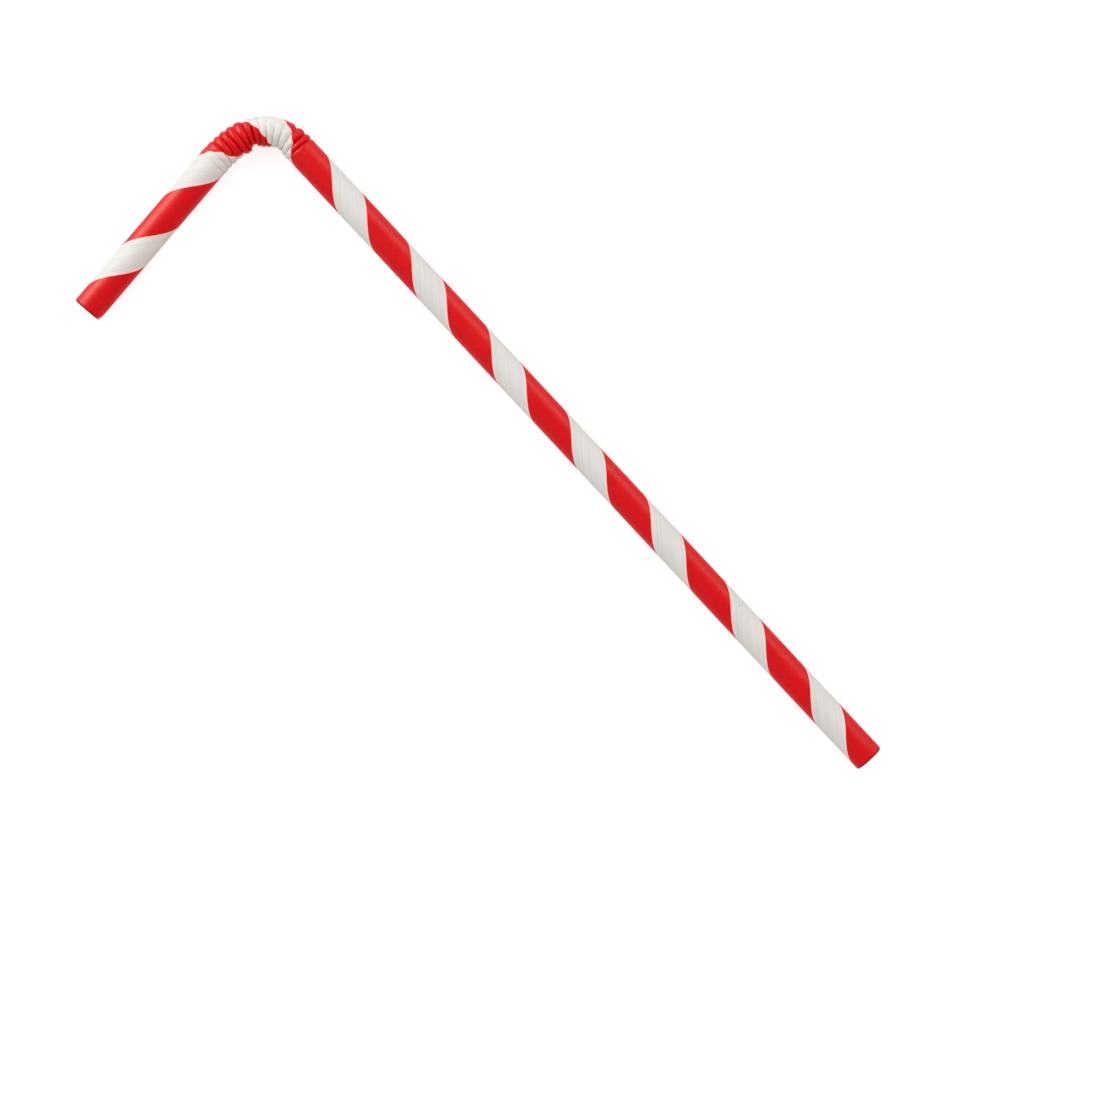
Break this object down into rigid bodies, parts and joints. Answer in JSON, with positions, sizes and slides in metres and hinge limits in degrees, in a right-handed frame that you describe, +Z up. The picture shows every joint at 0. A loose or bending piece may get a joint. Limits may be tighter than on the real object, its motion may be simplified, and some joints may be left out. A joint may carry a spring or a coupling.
{
  "type": "bendy paper straw",
  "caption": "Round paper drinking straw with a broad red and white spiral stripe, bent to about a right angle at its pleated bellows, with a short mouth arm and a long arm.",
  "frame": {"origin": "bottom centre of the straw's bounding box as it lies on a table", "axes": "+X along the long arm towards its lower end, +Z up from the table, and the mouth arm comes back from the bend along -Y and slightly +X"},
  "size_m": [0.1716, 0.054, 0.006],
  "materials": {
    "striped_paper": "satin"
  },
  "bodies": {
    "root": {"paper_straw": "striped_paper"}
  },
  "joints": []
}
